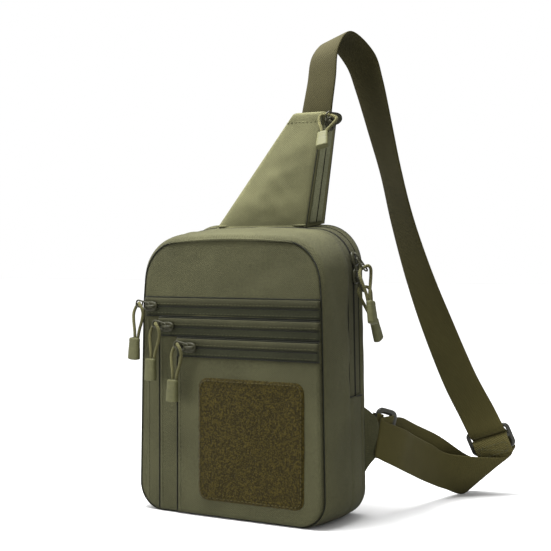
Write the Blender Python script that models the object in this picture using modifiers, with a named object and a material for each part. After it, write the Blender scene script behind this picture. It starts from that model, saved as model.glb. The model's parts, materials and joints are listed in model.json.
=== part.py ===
"""Sling bag with a three-zip front, a triangular shoulder pouch and a webbing strap.

The bag stands on its base: +Z up, the front faces -Y, and the origin is at the middle of
the base.  Sizes below are in millimetres and are turned into metres by MM.
"""
import math

import bmesh
import bpy
from mathutils import Matrix, Vector

MM = 0.001
GAP = 0.3                      # clearance kept between touching pieces

# Main compartment
HALF_WIDTH_LOW = 87.5          # half width at the front seam, near the base
HALF_WIDTH_HIGH = 84.0         # the same where the top corners start
FRONT_HEIGHT = 224.0           # height of the top edge at the front seam
TOP_SLOPE = 1.0 / 6.0          # the top rises towards the back
TOP_CROWN = 2.0
TOP_RADIUS = 34.0
BOTTOM_RADIUS = 22.0
SIDE_BULGE = 4.0
FRONT_Y = -36.0
BACK_Y = 33.0
FABRIC = 2.0                   # padded fabric
EDGE_INSET = 2.4               # panels stop short of the outline, where the piping sits
PIPING_RADIUS = 1.1
GUSSET_FRONT_Y = -33.4
ZIP_FRONT_Y = 0.5
ZIP_MIDDLE_Y = 11.5
ZIP_BACK_Y = 22.5
TAPE = 1.4                     # zipper tape with its coil
ZIP_END_Z = 98.0               # the main zip ends here on both sides
FOLD_Z = 119.0                 # the front panel meets the pocket layers here
FLAP_PIVOT = (0.0, -40.0, ZIP_END_Z)    # the front folds forward about this line when open

# Stepped front pockets: left edge, thickness of a layer, zip band top and bottom
LAYER = 1.6
LAYER_LEFT = (-66.5, -47.5)
ZIP_BANDS = ((-81.0, 175.5, 160.5), (-66.0, 159.0, 144.5), (-47.0, 143.0, 128.5))
SLIDER_STARTS = (-74.0, -56.0, -33.0)
PATCH = (-26.0, 71.0, 14.0, 112.0)      # loop patch: left, right, bottom, top
PATCH_RADIUS = 9.0

# Shoulder pouch
POUCH_TOP_Z = 323.5
POUCH_BASE = ((-44.0, 14.0), (42.6, 14.0), (49.0, 33.0), (-46.0, 33.0))
POUCH_TOP = ((28.0, 18.0), (56.0, 18.0), (61.0, 33.0), (30.0, 33.0))

# Webbing strap
WEBBING = 32.0
WEBBING_THICKNESS = 1.6
RING_CENTRE = Vector((93.3, 51.5, 64.0))
RING_OUT = Vector((0.45, 0.89, 0.0)).normalized()
RING_TILT = math.radians(16.0)
TRI_GLIDE_CENTRE = Vector((146.0, 160.5, 49.0))
STRAP_RUN = Vector((0.36, 0.28, -0.89)).normalized()
WING_ROOT = Vector((84.5, 34.0, 0.0))

# Zip pulls
SLIDER_SIZE = (12.0, 8.4, 3.3)
SLIDER_LIFT = 0.4              # sliders on a curved tape clear it by this much
TAB_LENGTH = 13.0
TAB_WIDTH = 6.8
TAB_THICKNESS = 1.2
TAB_HOLE_RADIUS = 2.2
TAB_NECK = 1.2                 # half the width of the tab's lug, which turns on the slider
TAB_NECK_END = 0.3
TAB_SHOULDER = 2.0
CORD_RADIUS = 1.25
CORD_DROP = 25.0
TIP_LENGTH = 21.0
TIP_WIDTH = 9.6
TIP_THICKNESS = 7.0

COLOURS = {
    "nylon_fabric": ((0.105, 0.10, 0.058, 1.0), 0.85, 0.0),
    "webbing": ((0.10, 0.09, 0.04, 1.0), 0.8, 0.0),
    "zip_tape": ((0.055, 0.06, 0.035, 1.0), 0.75, 0.0),
    "loop_pile": ((0.075, 0.06, 0.016, 1.0), 0.95, 0.0),
    "piping": ((0.012, 0.014, 0.008, 1.0), 0.8, 0.0),
    "moulded_plastic": ((0.16, 0.18, 0.09, 1.0), 0.5, 0.0),
    "zip_metal": ((0.09, 0.09, 0.065, 1.0), 0.4, 0.8),
    "paracord": ((0.21, 0.21, 0.11, 1.0), 0.8, 0.0),
    "buckle_plastic": ((0.10, 0.105, 0.065, 1.0), 0.4, 0.0),
    "mesh_pad": ((0.05, 0.052, 0.03, 1.0), 0.9, 0.0),
}


def make_material(slot):
    """One Principled material for each piece of the named finish."""
    colour, roughness, metallic = COLOURS[slot]
    material = bpy.data.materials.new(slot)
    material.use_nodes = True
    shader = material.node_tree.nodes["Principled BSDF"]
    shader.inputs["Base Color"].default_value = colour
    shader.inputs["Roughness"].default_value = roughness
    shader.inputs["Metallic"].default_value = metallic
    material.diffuse_color = colour
    return material


def link(mesh, name, slot, matrix=None, parent=None):
    """Put a finished mesh in the bag's collection, under its parent empty if it has one."""
    thing = bpy.data.objects.new(name, mesh)
    mesh.materials.clear()
    mesh.materials.append(make_material(slot))
    PARTS.objects.link(thing)
    if matrix is not None:
        thing.matrix_world = matrix
    if parent is not None:
        thing.parent = parent
    return thing


def solidify(thing, thickness, offset):
    shell = thing.modifiers.new("Thickness", "SOLIDIFY")
    shell.thickness = thickness * MM
    shell.offset = offset
    shell.use_even_offset = True
    return shell


def smooth_route(points, steps):
    """A Catmull-Rom curve through the points, with the given steps to each span."""
    points = [Vector(point) for point in points]
    route = []
    for i in range(len(points) - 1):
        before = points[max(i - 1, 0)]
        after = points[min(i + 2, len(points) - 1)]
        start, end = points[i], points[i + 1]
        for step in range(steps):
            t = step / steps
            route.append(0.5 * (2 * start + (end - before) * t
                                + (2 * before - 5 * start + 4 * end - after) * t ** 2
                                + (3 * start - before - 3 * end + after) * t ** 3))
    route.append(points[-1])
    return route


# The bag's outline, seen from the front, at a given depth

def height_at(y):
    return FRONT_HEIGHT + (y - FRONT_Y) * TOP_SLOPE


def bulge_at(y):
    middle = (FRONT_Y + BACK_Y) / 2
    return SIDE_BULGE * (1 - ((y - middle) / (BACK_Y - middle)) ** 2)


def side_x(z, y):
    share = (z - BOTTOM_RADIUS) / (FRONT_HEIGHT - TOP_RADIUS - BOTTOM_RADIUS)
    share = min(max(share, 0.0), 1.0)
    return HALF_WIDTH_LOW + (HALF_WIDTH_HIGH - HALF_WIDTH_LOW) * share + bulge_at(y)


def arc(centre_x, centre_z, radius, start, end, steps):
    """Points on an arc, angles in degrees from +X towards +Z."""
    points = []
    for step in range(steps + 1):
        angle = math.radians(start + (end - start) * step / steps)
        points.append((centre_x + radius * math.cos(angle), centre_z + radius * math.sin(angle)))
    return points


def right_half_above(y, inset, cut_z):
    """From the middle of the top edge round the right corner and down to cut_z."""
    top = height_at(y)
    corner_z = top - TOP_RADIUS
    corner_x = side_x(corner_z, y) - TOP_RADIUS
    points = []
    for share in (0.0, 0.5):
        points.append((corner_x * share, top - inset + TOP_CROWN * (1 - share ** 2)))
    points += arc(corner_x, corner_z, TOP_RADIUS - inset, 90, 0, 6)
    steps = 3
    for step in range(1, steps + 1):
        z = corner_z + (cut_z - corner_z) * step / steps
        points.append((side_x(z, y) - inset, z))
    return points


def right_half_below(y, inset, cut_z):
    """From the right side at cut_z down round the bottom corner to the middle of the base."""
    corner_x = side_x(BOTTOM_RADIUS, y) - BOTTOM_RADIUS
    points = [(side_x(cut_z, y) - inset, cut_z)]
    points += arc(corner_x, BOTTOM_RADIUS, BOTTOM_RADIUS - inset, 0, -90, 5)
    points.append((0.0, inset))
    return points


def arch(y, inset, cut_z):
    right = right_half_above(y, inset, cut_z)
    left = [(-x, z) for x, z in reversed(right[1:])]
    return left + right


def tray(y, inset, cut_z):
    right = right_half_below(y, inset, cut_z)
    left = [(-x, z) for x, z in reversed(right[:-1])]
    return right + left


def full_outline(y, inset):
    return arch(y, inset, ZIP_END_Z) + tray(y, inset, ZIP_END_Z)[1:-1]


# Builders for the kinds of piece that repeat

def band(name, slot, outline, depths, thickness, closed=False):
    """A strip that follows an outline from one depth to the next, thickened inwards."""
    bm = bmesh.new()
    rows = []
    for y in depths:
        rows.append([bm.verts.new((x * MM, y * MM, z * MM)) for x, z in outline(y)])
    count = len(rows[0])
    last = count if closed else count - 1
    for front, back in zip(rows, rows[1:]):
        for i in range(last):
            j = (i + 1) % count
            bm.faces.new((front[i], front[j], back[j], back[i]))
    mesh = bpy.data.meshes.new(name)
    bm.to_mesh(mesh)
    bm.free()
    thing = link(mesh, name, slot)
    solidify(thing, thickness, -1.0)
    return thing


def plate(name, slot, outlines, thickness, matrix, parent=None):
    """A flat outline, with any holes, extruded about its own plane and then placed."""
    curve = bpy.data.curves.new(name, "CURVE")
    curve.dimensions = "2D"
    curve.fill_mode = "BOTH"
    curve.extrude = thickness / 2 * MM
    for outline in outlines:
        spline = curve.splines.new("POLY")
        spline.points.add(len(outline) - 1)
        for point, (x, z) in zip(spline.points, outline):
            point.co = (x * MM, z * MM, 0.0, 1.0)
        spline.use_cyclic_u = True
    return curve_to_mesh(curve, name, slot, matrix, parent)


def curve_to_mesh(curve, name, slot, matrix, parent):
    """Turn a curve into a welded mesh object and remove the curve."""
    guide = bpy.data.objects.new(name + "_curve", curve)
    PARTS.objects.link(guide)
    graph = bpy.context.evaluated_depsgraph_get()
    mesh = bpy.data.meshes.new_from_object(guide.evaluated_get(graph))
    bpy.data.objects.remove(guide)
    bm = bmesh.new()
    bm.from_mesh(mesh)
    bmesh.ops.remove_doubles(bm, verts=bm.verts, dist=0.00002)
    bm.to_mesh(mesh)
    bm.free()
    return link(mesh, name, slot, matrix, parent)


def tube(name, slot, points, radius, matrix=None, parent=None):
    """A cord or piping of round section along the points."""
    curve = bpy.data.curves.new(name, "CURVE")
    curve.dimensions = "3D"
    curve.bevel_depth = radius * MM
    curve.bevel_resolution = 2
    curve.use_fill_caps = True
    spline = curve.splines.new("POLY")
    spline.points.add(len(points) - 1)
    for point, place in zip(spline.points, points):
        point.co = (*(Vector(place) * MM), 1.0)
    return curve_to_mesh(curve, name, slot, matrix or Matrix.Identity(4), parent)


def upright(y_middle):
    """Places a flat outline upright, facing the front, with its middle plane at this depth."""
    return Matrix.Translation((0, y_middle * MM, 0)) @ Matrix.Rotation(math.radians(90), 4, "X")


def on_plane(origin, across, up):
    """Places a flat outline in the plane through origin with these two directions."""
    across = Vector(across).normalized()
    normal = across.cross(Vector(up)).normalized()
    up = normal.cross(across)
    matrix = Matrix((across, up, normal)).transposed().to_4x4()
    matrix.translation = Vector(origin) * MM
    return matrix


def rounded_rectangle(left, right, bottom, top, radius, steps=3):
    points = arc(right - radius, top - radius, radius, 90, 0, steps)
    points += arc(right - radius, bottom + radius, radius, 0, -90, steps)
    points += arc(left + radius, bottom + radius, radius, -90, -180, steps)
    points += arc(left + radius, top - radius, radius, 180, 90, steps)
    return points


def block(name, slot, size, bevel, matrix, parent=None, taper=1.0):
    """A rounded block; taper narrows its +Z end."""
    bm = bmesh.new()
    bmesh.ops.create_cube(bm, size=1.0)
    for vert in bm.verts:
        narrow = taper if vert.co.z > 0 else 1.0
        vert.co = Vector((vert.co.x * size[0] * narrow, vert.co.y * size[1] * narrow,
                          vert.co.z * size[2])) * MM
    mesh = bpy.data.meshes.new(name)
    bm.to_mesh(mesh)
    bm.free()
    thing = link(mesh, name, slot, matrix, parent)
    edge = thing.modifiers.new("Rounded", "BEVEL")
    edge.width = bevel * MM
    edge.segments = 2
    return thing


def pivot(name, place, parent=None):
    """An empty on a joint's axis, which the moving piece is parented to."""
    empty = bpy.data.objects.new(name, None)
    PARTS.objects.link(empty)
    empty.location = Vector(place) * MM
    if parent is not None:
        empty.parent = parent
        empty.location = (Vector(place) - PIVOTS[parent.name]) * MM
    PIVOTS[name] = Vector(place)
    return empty


# Main compartment

def build_gussets():
    band("lower_gusset", "nylon_fabric", lambda y: tray(y, 0.0, ZIP_END_Z - GAP),
         (GUSSET_FRONT_Y, -15.0, 3.0, ZIP_BACK_Y - GAP), FABRIC)
    band("rear_gusset", "nylon_fabric", lambda y: full_outline(y, 0.0),
         (ZIP_BACK_Y, BACK_Y - PIPING_RADIUS * 2 - GAP), FABRIC, closed=True)
    band("front_gusset", "nylon_fabric", lambda y: arch(y, 0.0, ZIP_END_Z),
         (GUSSET_FRONT_Y, -15.0, ZIP_FRONT_Y - GAP), FABRIC)
    band("main_tape_front", "zip_tape", lambda y: arch(y, 0.4, ZIP_END_Z),
         (ZIP_FRONT_Y, ZIP_MIDDLE_Y - GAP), TAPE)
    band("main_tape_rear", "zip_tape", lambda y: arch(y, 0.4, ZIP_END_Z),
         (ZIP_MIDDLE_Y, ZIP_BACK_Y - GAP), TAPE)


def build_piping():
    radius = PIPING_RADIUS
    front = FRONT_Y + radius - 0.1
    upper = [(x, front, z) for x, z in arch(FRONT_Y, radius, ZIP_END_Z + GAP)]
    lower = [(x, front, z) for x, z in tray(FRONT_Y, radius, ZIP_END_Z - GAP)]
    tube("upper_piping", "piping", upper, radius)
    tube("lower_piping", "piping", lower, radius)
    rear = [(x, BACK_Y - radius + 0.1, z) for x, z in full_outline(BACK_Y, radius)]
    gap_start = len(rear) // 2 + 2
    tube("rear_piping", "piping", rear[gap_start:] + rear[:gap_start], radius)


def build_panels():
    """The front and back panels, and the stepped pocket layers with their loop patch."""
    middle = FRONT_Y + FABRIC / 2
    plate("front_panel", "nylon_fabric", [arch(FRONT_Y, EDGE_INSET, FOLD_Z + GAP)],
          FABRIC, upright(middle))
    plate("pocket_panel_1", "nylon_fabric", [tray(FRONT_Y, EDGE_INSET, FOLD_Z - GAP)],
          FABRIC, upright(middle))
    for number, left in enumerate(LAYER_LEFT, start=2):
        depth = FRONT_Y - (number - 1) * (LAYER + GAP) + LAYER / 2
        outline = [(x, z) for x, z in tray(FRONT_Y, EDGE_INSET, FOLD_Z - GAP) if x > left]
        outline += [(left, EDGE_INSET), (left, FOLD_Z - GAP)]
        plate("pocket_panel_%d" % number, "nylon_fabric", [outline], LAYER, upright(depth))
    patch_depth = FRONT_Y - 3 * (LAYER + GAP) + LAYER / 2
    plate("loop_patch", "loop_pile", [rounded_rectangle(*PATCH, PATCH_RADIUS)], LAYER,
          upright(patch_depth))
    back_middle = BACK_Y - FABRIC / 2
    plate("back_panel", "nylon_fabric", [full_outline(BACK_Y, EDGE_INSET)], FABRIC,
          upright(back_middle))
    pad_thickness = 5.0
    plate("back_pad", "mesh_pad", [full_outline(BACK_Y, 12.0)], pad_thickness,
          upright(BACK_Y + GAP + pad_thickness / 2))


def tape_face(number):
    """Depth of the face of a front zip's tape: each steps forward with its pocket layer."""
    return FRONT_Y - (number - 1) * (LAYER + GAP) - GAP - TAPE


def build_pocket_zips():
    for number, (left, top, bottom) in enumerate(ZIP_BANDS, start=1):
        depth = tape_face(number) + TAPE / 2
        right = side_x(top, FRONT_Y) - EDGE_INSET
        outline = [(left, top), (right, top), (right, bottom), (left, bottom)]
        plate("pocket_tape_%d" % number, "zip_tape", [outline], TAPE, upright(depth))


def build_divider():
    """The padded insert panel in the main compartment, with its bound edge."""
    top, bottom, half, radius = 178.0, 6.0, 74.0, 16.0
    panel_y, thickness, binding = 22.0, 1.6, 6.0
    panel = rounded_rectangle(-half, half, bottom, top, radius)
    plate("inner_divider", "nylon_fabric", [panel], thickness, upright(panel_y))
    hole = rounded_rectangle(-half + binding, half - binding, bottom + binding, top - binding,
                             radius - binding)
    binding_y = panel_y - thickness - GAP
    plate("divider_binding", "webbing", [panel, hole], thickness, upright(binding_y))


# Shoulder pouch

def pouch_corners():
    """The pouch's base and top corners, each running front left, front right, back right."""
    low = [Vector((x, y, height_at(y) + TOP_CROWN + GAP)) for x, y in POUCH_BASE]
    high = [Vector((x, y, POUCH_TOP_Z)) for x, y in POUCH_TOP]
    return low, high


def pouch_side():
    """The right side's corners: base front and back, then top front and back."""
    low, high = pouch_corners()
    front_set = Vector((0, FABRIC + GAP, 0))
    back_set = Vector((0, -FABRIC - 4 * GAP, 0))
    return low[1] + front_set, low[2] + back_set, high[1] + front_set, high[2] + back_set


def wall(name, slot, corners, thickness):
    """A flat wall between four corners, thickened inwards from its outer face."""
    bm = bmesh.new()
    bm.faces.new([bm.verts.new(Vector(corner) * MM) for corner in corners])
    mesh = bpy.data.meshes.new(name)
    bm.to_mesh(mesh)
    bm.free()
    thing = link(mesh, name, slot)
    solidify(thing, thickness, -1.0)
    return thing


def build_pouch():
    low, high = pouch_corners()
    wall("pouch_front", "nylon_fabric", (low[0], low[1], high[1], high[0]), FABRIC)
    wall("pouch_back", "nylon_fabric", (low[2], low[3], high[3], high[2]), FABRIC)
    inwards = Vector((0, FABRIC + GAP, 0))
    wall("pouch_left_side", "nylon_fabric",
         (low[3] - inwards, low[0] + inwards, high[0] + inwards, high[3] - inwards), FABRIC)
    low_front, low_back, high_front, high_back = pouch_side()
    shares = (("pouch_gusset_front", "nylon_fabric", 0.0, 0.19),
              ("pouch_tape", "zip_tape", 0.22, 0.78),
              ("pouch_gusset_rear", "nylon_fabric", 0.81, 1.0))
    for name, slot, start, end in shares:
        corners = (low_front.lerp(low_back, start), low_front.lerp(low_back, end),
                   high_front.lerp(high_back, end), high_front.lerp(high_back, start))
        wall(name, slot, corners, FABRIC if slot == "nylon_fabric" else TAPE)
    cap = Vector((high[0] + high[2])) / 2
    cap_height = 2.4
    block("pouch_cap", "nylon_fabric",
          (high[1].x - high[0].x, high[2].y - high[1].y, cap_height), 0.6,
          Matrix.Translation((cap + Vector((0, 0, GAP + cap_height / 2))) * MM))


# Strap

def width_direction(yaw, roll):
    """The webbing's width direction from its turn about Z and its tilt, in degrees."""
    yaw, roll = math.radians(yaw), math.radians(roll)
    return Vector((math.cos(yaw) * math.cos(roll), math.sin(yaw) * math.cos(roll), math.sin(roll)))


# Middle of the webbing, then its yaw and roll, from the pouch to the adjuster
UPPER_ROUTE = (
    ((46.3, 25.5, 327.7), -12, 4),
    ((50.2, 26.0, 352.0), -16, 4),
    ((52.2, 29.0, 376.0), -19, 8),
    ((59.2, 40.0, 388.5), -22, 11),
    ((69.5, 57.0, 373.0), -16, 13),
    ((74.5, 65.0, 351.0), -19, 12),
    ((80.0, 75.0, 315.0), -27, 9),
    ((84.5, 86.0, 280.0), -33, 6),
    ((89.5, 98.0, 240.0), -30, 7),
    ((98.5, 112.0, 194.0), -22, 12),
    ((109.5, 126.0, 151.0), -11, 16),
    ((123.5, 142.0, 104.0), -3, 20),
    ((141.0, 156.5, 61.5), 6, 20),
)

def width_line(centre, direction):
    """The two ends of a straight line across the webbing."""
    half = direction * WEBBING / 2
    return tuple(centre - half), tuple(centre + half)


def ring_axes():
    """The ring's own directions: away from the bag, along its long side, and across both."""
    out = RING_OUT * math.cos(RING_TILT) - Vector((0, 0, 1)) * math.sin(RING_TILT)
    up = RING_OUT * math.sin(RING_TILT) + Vector((0, 0, 1)) * math.cos(RING_TILT)
    return out, up, out.cross(up)


def at_ring(out_by, side_by):
    out, up, side = ring_axes()
    return width_line(RING_CENTRE + out * out_by + side * side_by, up)


def adjuster_axes():
    """The adjuster's directions: across the webbing, along it, and away from the bag."""
    across = width_direction(6, 20)
    normal = across.cross(STRAP_RUN).normalized()
    return across, normal.cross(across), normal


def at_adjuster(along_by, side_by):
    across, along, normal = adjuster_axes()
    return width_line(TRI_GLIDE_CENTRE + along * along_by + normal * side_by, across)


# The lower loop from the adjuster to the ring, round its outer bar, and back to the sewn end.
# Each pair holds the ends of one straight line across the webbing.
LOOP_REAR = (
    ((127.0, 177.0, 9.0), (160.0, 182.0, 27.0)),
    ((118.0, 153.0, 3.5), (128.0, 158.5, 33.0)),
    ((108.0, 122.0, 22.0), (112.5, 125.0, 54.0)),
    ((100.5, 95.0, 34.0), (102.0, 100.0, 66.0)),
    ((96.5, 72.0, 43.0), (98.5, 80.0, 74.0)),
)
LOOP_FRONT = (
    ((101.0, 37.0, 53.0), (103.0, 56.5, 76.0)),
    ((106.0, 52.0, 37.0), (107.5, 63.0, 67.0)),
    ((108.0, 75.0, 28.0), (108.5, 82.0, 59.5)),
    ((110.0, 100.0, 18.5), (112.5, 105.0, 50.0)),
    ((114.5, 130.0, 8.0), (123.0, 128.0, 38.5)),
    ((124.5, 157.0, 1.2), (158.0, 160.0, 34.0)),
)


def ribbon(name, rulings, steps):
    """Webbing between two smooth edges, thickened about its middle surface."""
    low = smooth_route([pair[0] for pair in rulings], steps)
    high = smooth_route([pair[1] for pair in rulings], steps)
    bm = bmesh.new()
    rows = []
    for one, other in zip(low, high):
        rows.append((bm.verts.new(one * MM), bm.verts.new(other * MM)))
    for a, b in zip(rows, rows[1:]):
        bm.faces.new((a[0], a[1], b[1], b[0]))
    mesh = bpy.data.meshes.new(name)
    bm.to_mesh(mesh)
    bm.free()
    thing = link(mesh, name, "webbing")
    solidify(thing, WEBBING_THICKNESS, 0.0)
    return thing


def build_strap():
    upper = []
    for centre, yaw, roll in UPPER_ROUTE:
        half = width_direction(yaw, roll) * WEBBING / 2
        upper.append((Vector(centre) - half, Vector(centre) + half))
    ribbon("strap_upper", upper, 3)
    lower = [at_adjuster(15.0, 4.5)]
    lower += LOOP_REAR
    lower += [at_ring(13.0, -3.6), at_ring(8.4, -3.8), at_ring(4.9, -1.9), at_ring(4.9, 1.9)]
    lower += LOOP_FRONT
    lower += [at_adjuster(14.5, -3.5)]
    ribbon("strap_lower", lower, 3)


def build_adjuster():
    """The three-bar adjuster that the webbing runs through."""
    across, along, _ = adjuster_axes()
    outer = rounded_rectangle(-20.0, 20.0, -11.0, 11.0, 3.0)
    slots = [rounded_rectangle(-16.8, 16.8, 2.0, 7.6, 1.0, 1),
             rounded_rectangle(-16.8, 16.8, -7.6, -2.0, 1.0, 1)]
    plate("tri_glide", "buckle_plastic", [outer] + slots, 2.6,
          on_plane(TRI_GLIDE_CENTRE, across, -along))


def build_ring_and_wing():
    out, up, side = ring_axes()
    outer = rounded_rectangle(-10.0, 10.0, -21.6, 21.6, 3.0)
    hole = rounded_rectangle(-6.7, 6.7, -18.2, 18.2, 1.5)
    plate("strap_ring", "buckle_plastic", [outer, hole], 3.2, on_plane(RING_CENTRE, out, up))
    wing = [(0.0, 31.0), (2.6, 48.0), (10.4, 80.0), (0.0, 88.0)]
    plate("side_wing", "nylon_fabric", [wing], FABRIC, on_plane(WING_ROOT, RING_OUT, (0, 0, 1)))
    fold = []
    for x, y in ((-2.4, -3.6), (3.2, -2.9), (4.4, 0.0), (3.2, 2.9), (-2.4, 3.6)):
        fold.append((x, y))
    half = 15.0
    bar = RING_CENTRE - out * 8.2
    rulings = []
    for x, y in fold:
        place = bar + out * x + side * y
        rulings.append((place - up * half, place + up * half))
    ribbon("wing_loop", rulings, 2)


# Zip pulls

def pull(name, place, travel, out, tab_direction, hang, spread, drop=CORD_DROP, parent=None):
    """A slider with its hinged tab, a cord loop through the tab and a moulded tip.

    travel is the way the slider runs, out points away from the fabric, tab_direction is the
    way the tab lies at rest, hang is the way the cord hangs, and spread is across the loop.
    """
    place, travel, out = Vector(place), Vector(travel).normalized(), Vector(out).normalized()
    across = out.cross(travel).normalized()
    tab_direction, hang = Vector(tab_direction).normalized(), Vector(hang).normalized()
    spread = Vector(spread).normalized()
    length, width, height = SLIDER_SIZE
    frame = Matrix((travel, across, out)).transposed().to_4x4()
    frame.translation = (place + out * (height / 2 + GAP)) * MM
    slider_pivot = pivot(name + "_slider_pivot", place, parent)
    local = Matrix.Translation(-place * MM)
    block(name + "_slider", "zip_metal", (length, width, height), 0.9, local @ frame,
          slider_pivot)
    hinge = place + out * (height + 2 * GAP + TAB_THICKNESS / 2 + 0.05)
    tab_pivot = pivot(name + "_tab_pivot", hinge, slider_pivot)
    half = TAB_WIDTH / 2
    outline = [(-TAB_NECK_END, -TAB_NECK), (TAB_SHOULDER, -TAB_NECK), (TAB_SHOULDER + 0.4, -half),
               (TAB_LENGTH - 0.8, -half), (TAB_LENGTH, 0.8 - half), (TAB_LENGTH, half - 0.8),
               (TAB_LENGTH - 0.8, half), (TAB_SHOULDER + 0.4, half), (TAB_SHOULDER, TAB_NECK),
               (-TAB_NECK_END, TAB_NECK)]
    hole_x = TAB_LENGTH - TAB_HOLE_RADIUS - 1.0
    hole = arc(hole_x, 0.0, TAB_HOLE_RADIUS, 0, 330, 11)
    tab_normal = (out - tab_direction * out.dot(tab_direction)).normalized()
    tab_up = tab_normal.cross(tab_direction)
    tab_frame = on_plane(hinge, tab_direction, tab_up)
    plate(name + "_tab", "zip_metal", [outline, hole], TAB_THICKNESS,
          Matrix.Translation(-hinge * MM) @ tab_frame, tab_pivot)
    eye = hinge + tab_direction * hole_x
    cord_pivot = pivot(name + "_cord_pivot", eye, tab_pivot)
    outer = tab_normal
    reach = drop / 25.0
    shape = ((2.3, 1.0, 25.0), (3.6, 2.0, 15.0), (2.0, 4.2, 6.0), (0.4, 3.9, 1.6), (0.0, 2.0, 0.0),
             (0.0, 0.0, -0.1), (0.0, -2.0, 0.1), (-0.5, -2.9, 1.8), (-2.0, -2.7, 6.0),
             (-3.6, -1.4, 15.0), (-2.3, 0.6, 25.0))
    points = [spread * a + outer * b + hang * c * reach for a, b, c in shape]
    tube(name + "_cord", "paracord", smooth_route(points, 2), CORD_RADIUS, parent=cord_pivot)
    normal = spread.cross(hang).normalized()
    tip_frame = Matrix((spread, normal, -hang)).transposed().to_4x4()
    tip_frame.translation = (hang * (drop + GAP + TIP_LENGTH / 2 + 0.6) + outer * 1.2) * MM
    block(name + "_tip", "moulded_plastic", (TIP_WIDTH, TIP_THICKNESS, TIP_LENGTH), 1.6,
          tip_frame, cord_pivot, taper=0.84)


def build_pulls(flap):
    front = (0, -1, 0)
    for number, start in enumerate(SLIDER_STARTS, start=1):
        _, top, bottom = ZIP_BANDS[number - 1]
        place = (start, tape_face(number), (top + bottom) / 2)
        pull("pocket_pull_%d" % number, place, (1, 0, 0), front, (-1, 0, 0.22),
             (-0.08, 0.0, -1), (1, 0, 0), parent=flap)
    corner_z = height_at(ZIP_MIDDLE_Y) - TOP_RADIUS
    low_z = corner_z - 4.6
    side = side_x(low_z, ZIP_MIDDLE_Y) - 0.4 + SLIDER_LIFT
    flare = (side_x(ZIP_END_Z, ZIP_MIDDLE_Y) - side_x(low_z, ZIP_MIDDLE_Y)) / (low_z - ZIP_END_Z)
    pull("main_pull_low", (side, ZIP_MIDDLE_Y, low_z), (flare, 0, -1), (1, 0, flare),
         (0.2, 0.35, -1), (0.08, 0.40, -1), (0, 1, 0))
    corner_x = side_x(corner_z, ZIP_MIDDLE_Y) - TOP_RADIUS
    turn = math.radians(15.0)
    reach = TOP_RADIUS - 0.4 + SLIDER_LIFT
    place = (corner_x + reach * math.cos(turn), ZIP_MIDDLE_Y, corner_z + reach * math.sin(turn))
    pull("main_pull_high", place, (math.sin(turn), 0, -math.cos(turn)),
         (math.cos(turn), 0, math.sin(turn)), (0.75, 0, -1), (0.2, -0.16, -1), (0, 1, 0))
    low_front, low_back, high_front, high_back = pouch_side()
    top, base = (high_front + high_back) / 2, (low_front + low_back) / 2
    run = (base - top).normalized()
    out = run.cross(high_back - high_front).normalized()
    pull("pouch_pull", top.lerp(base, 0.075) + out * SLIDER_LIFT, run, out, (0.1, -0.8, 0.62),
         (0.0, -0.7, -1), (1, 0, 0), drop=11.0)


def hang_on_flap(flap):
    """The pieces that swing forward together when the main zip is open."""
    names = ["front_panel", "front_gusset", "main_tape_front", "upper_piping"]
    names += ["pocket_tape_%d" % number for number in range(1, len(ZIP_BANDS) + 1)]
    for name in names:
        thing = PARTS.objects[name]
        thing.parent = flap
        thing.matrix_parent_inverse = Matrix.Translation(-PIVOTS[flap.name] * MM)


def main():
    for thing in list(bpy.data.objects):
        bpy.data.objects.remove(thing)
    bpy.context.scene.collection.children.link(PARTS)
    build_gussets()
    build_piping()
    build_panels()
    build_pocket_zips()
    build_divider()
    build_pouch()
    build_strap()
    build_adjuster()
    build_ring_and_wing()
    flap = pivot("front_fold_pivot", FLAP_PIVOT)
    hang_on_flap(flap)
    build_pulls(flap)


PIVOTS = {}
PARTS = bpy.data.collections.new("sling_bag")
main()
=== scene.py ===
"""The looks of the sling bag: soft fabric, zips, cords and webbing built round its CAD frame.

Shapes are worked out in millimetres in the frame's own axes and turned into metres by MM.
"""
import json
import math

import bmesh
import bpy
import numpy as np
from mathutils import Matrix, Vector, noise


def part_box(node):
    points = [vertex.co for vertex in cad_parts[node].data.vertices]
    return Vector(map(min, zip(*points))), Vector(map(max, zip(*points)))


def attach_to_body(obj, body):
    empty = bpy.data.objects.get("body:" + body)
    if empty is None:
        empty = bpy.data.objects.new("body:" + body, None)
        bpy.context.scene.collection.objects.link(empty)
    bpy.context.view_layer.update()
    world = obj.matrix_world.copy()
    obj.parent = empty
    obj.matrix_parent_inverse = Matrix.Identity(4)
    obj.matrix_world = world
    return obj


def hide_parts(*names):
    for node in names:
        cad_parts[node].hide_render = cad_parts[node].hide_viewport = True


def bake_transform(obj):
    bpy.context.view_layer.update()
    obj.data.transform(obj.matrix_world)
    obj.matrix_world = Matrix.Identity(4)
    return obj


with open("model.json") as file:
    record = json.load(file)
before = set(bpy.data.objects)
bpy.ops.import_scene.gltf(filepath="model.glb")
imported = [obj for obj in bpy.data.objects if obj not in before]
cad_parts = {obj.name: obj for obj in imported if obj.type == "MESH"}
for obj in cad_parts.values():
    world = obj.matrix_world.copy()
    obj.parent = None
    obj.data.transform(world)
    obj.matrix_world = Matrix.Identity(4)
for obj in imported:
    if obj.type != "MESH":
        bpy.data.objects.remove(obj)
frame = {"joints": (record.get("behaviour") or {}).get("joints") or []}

MM = 0.001
BAG = "bag"
FLAP = "front_flap"
FORWARD = Vector((0, -1, 0))
UP = Vector((0, 0, 1))
ACROSS_FOLD = None                     # for a piece across the bag and its flap: it is put on no body
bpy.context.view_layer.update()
JOINTS = {joint["name"]: joint for joint in frame["joints"]}

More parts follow.
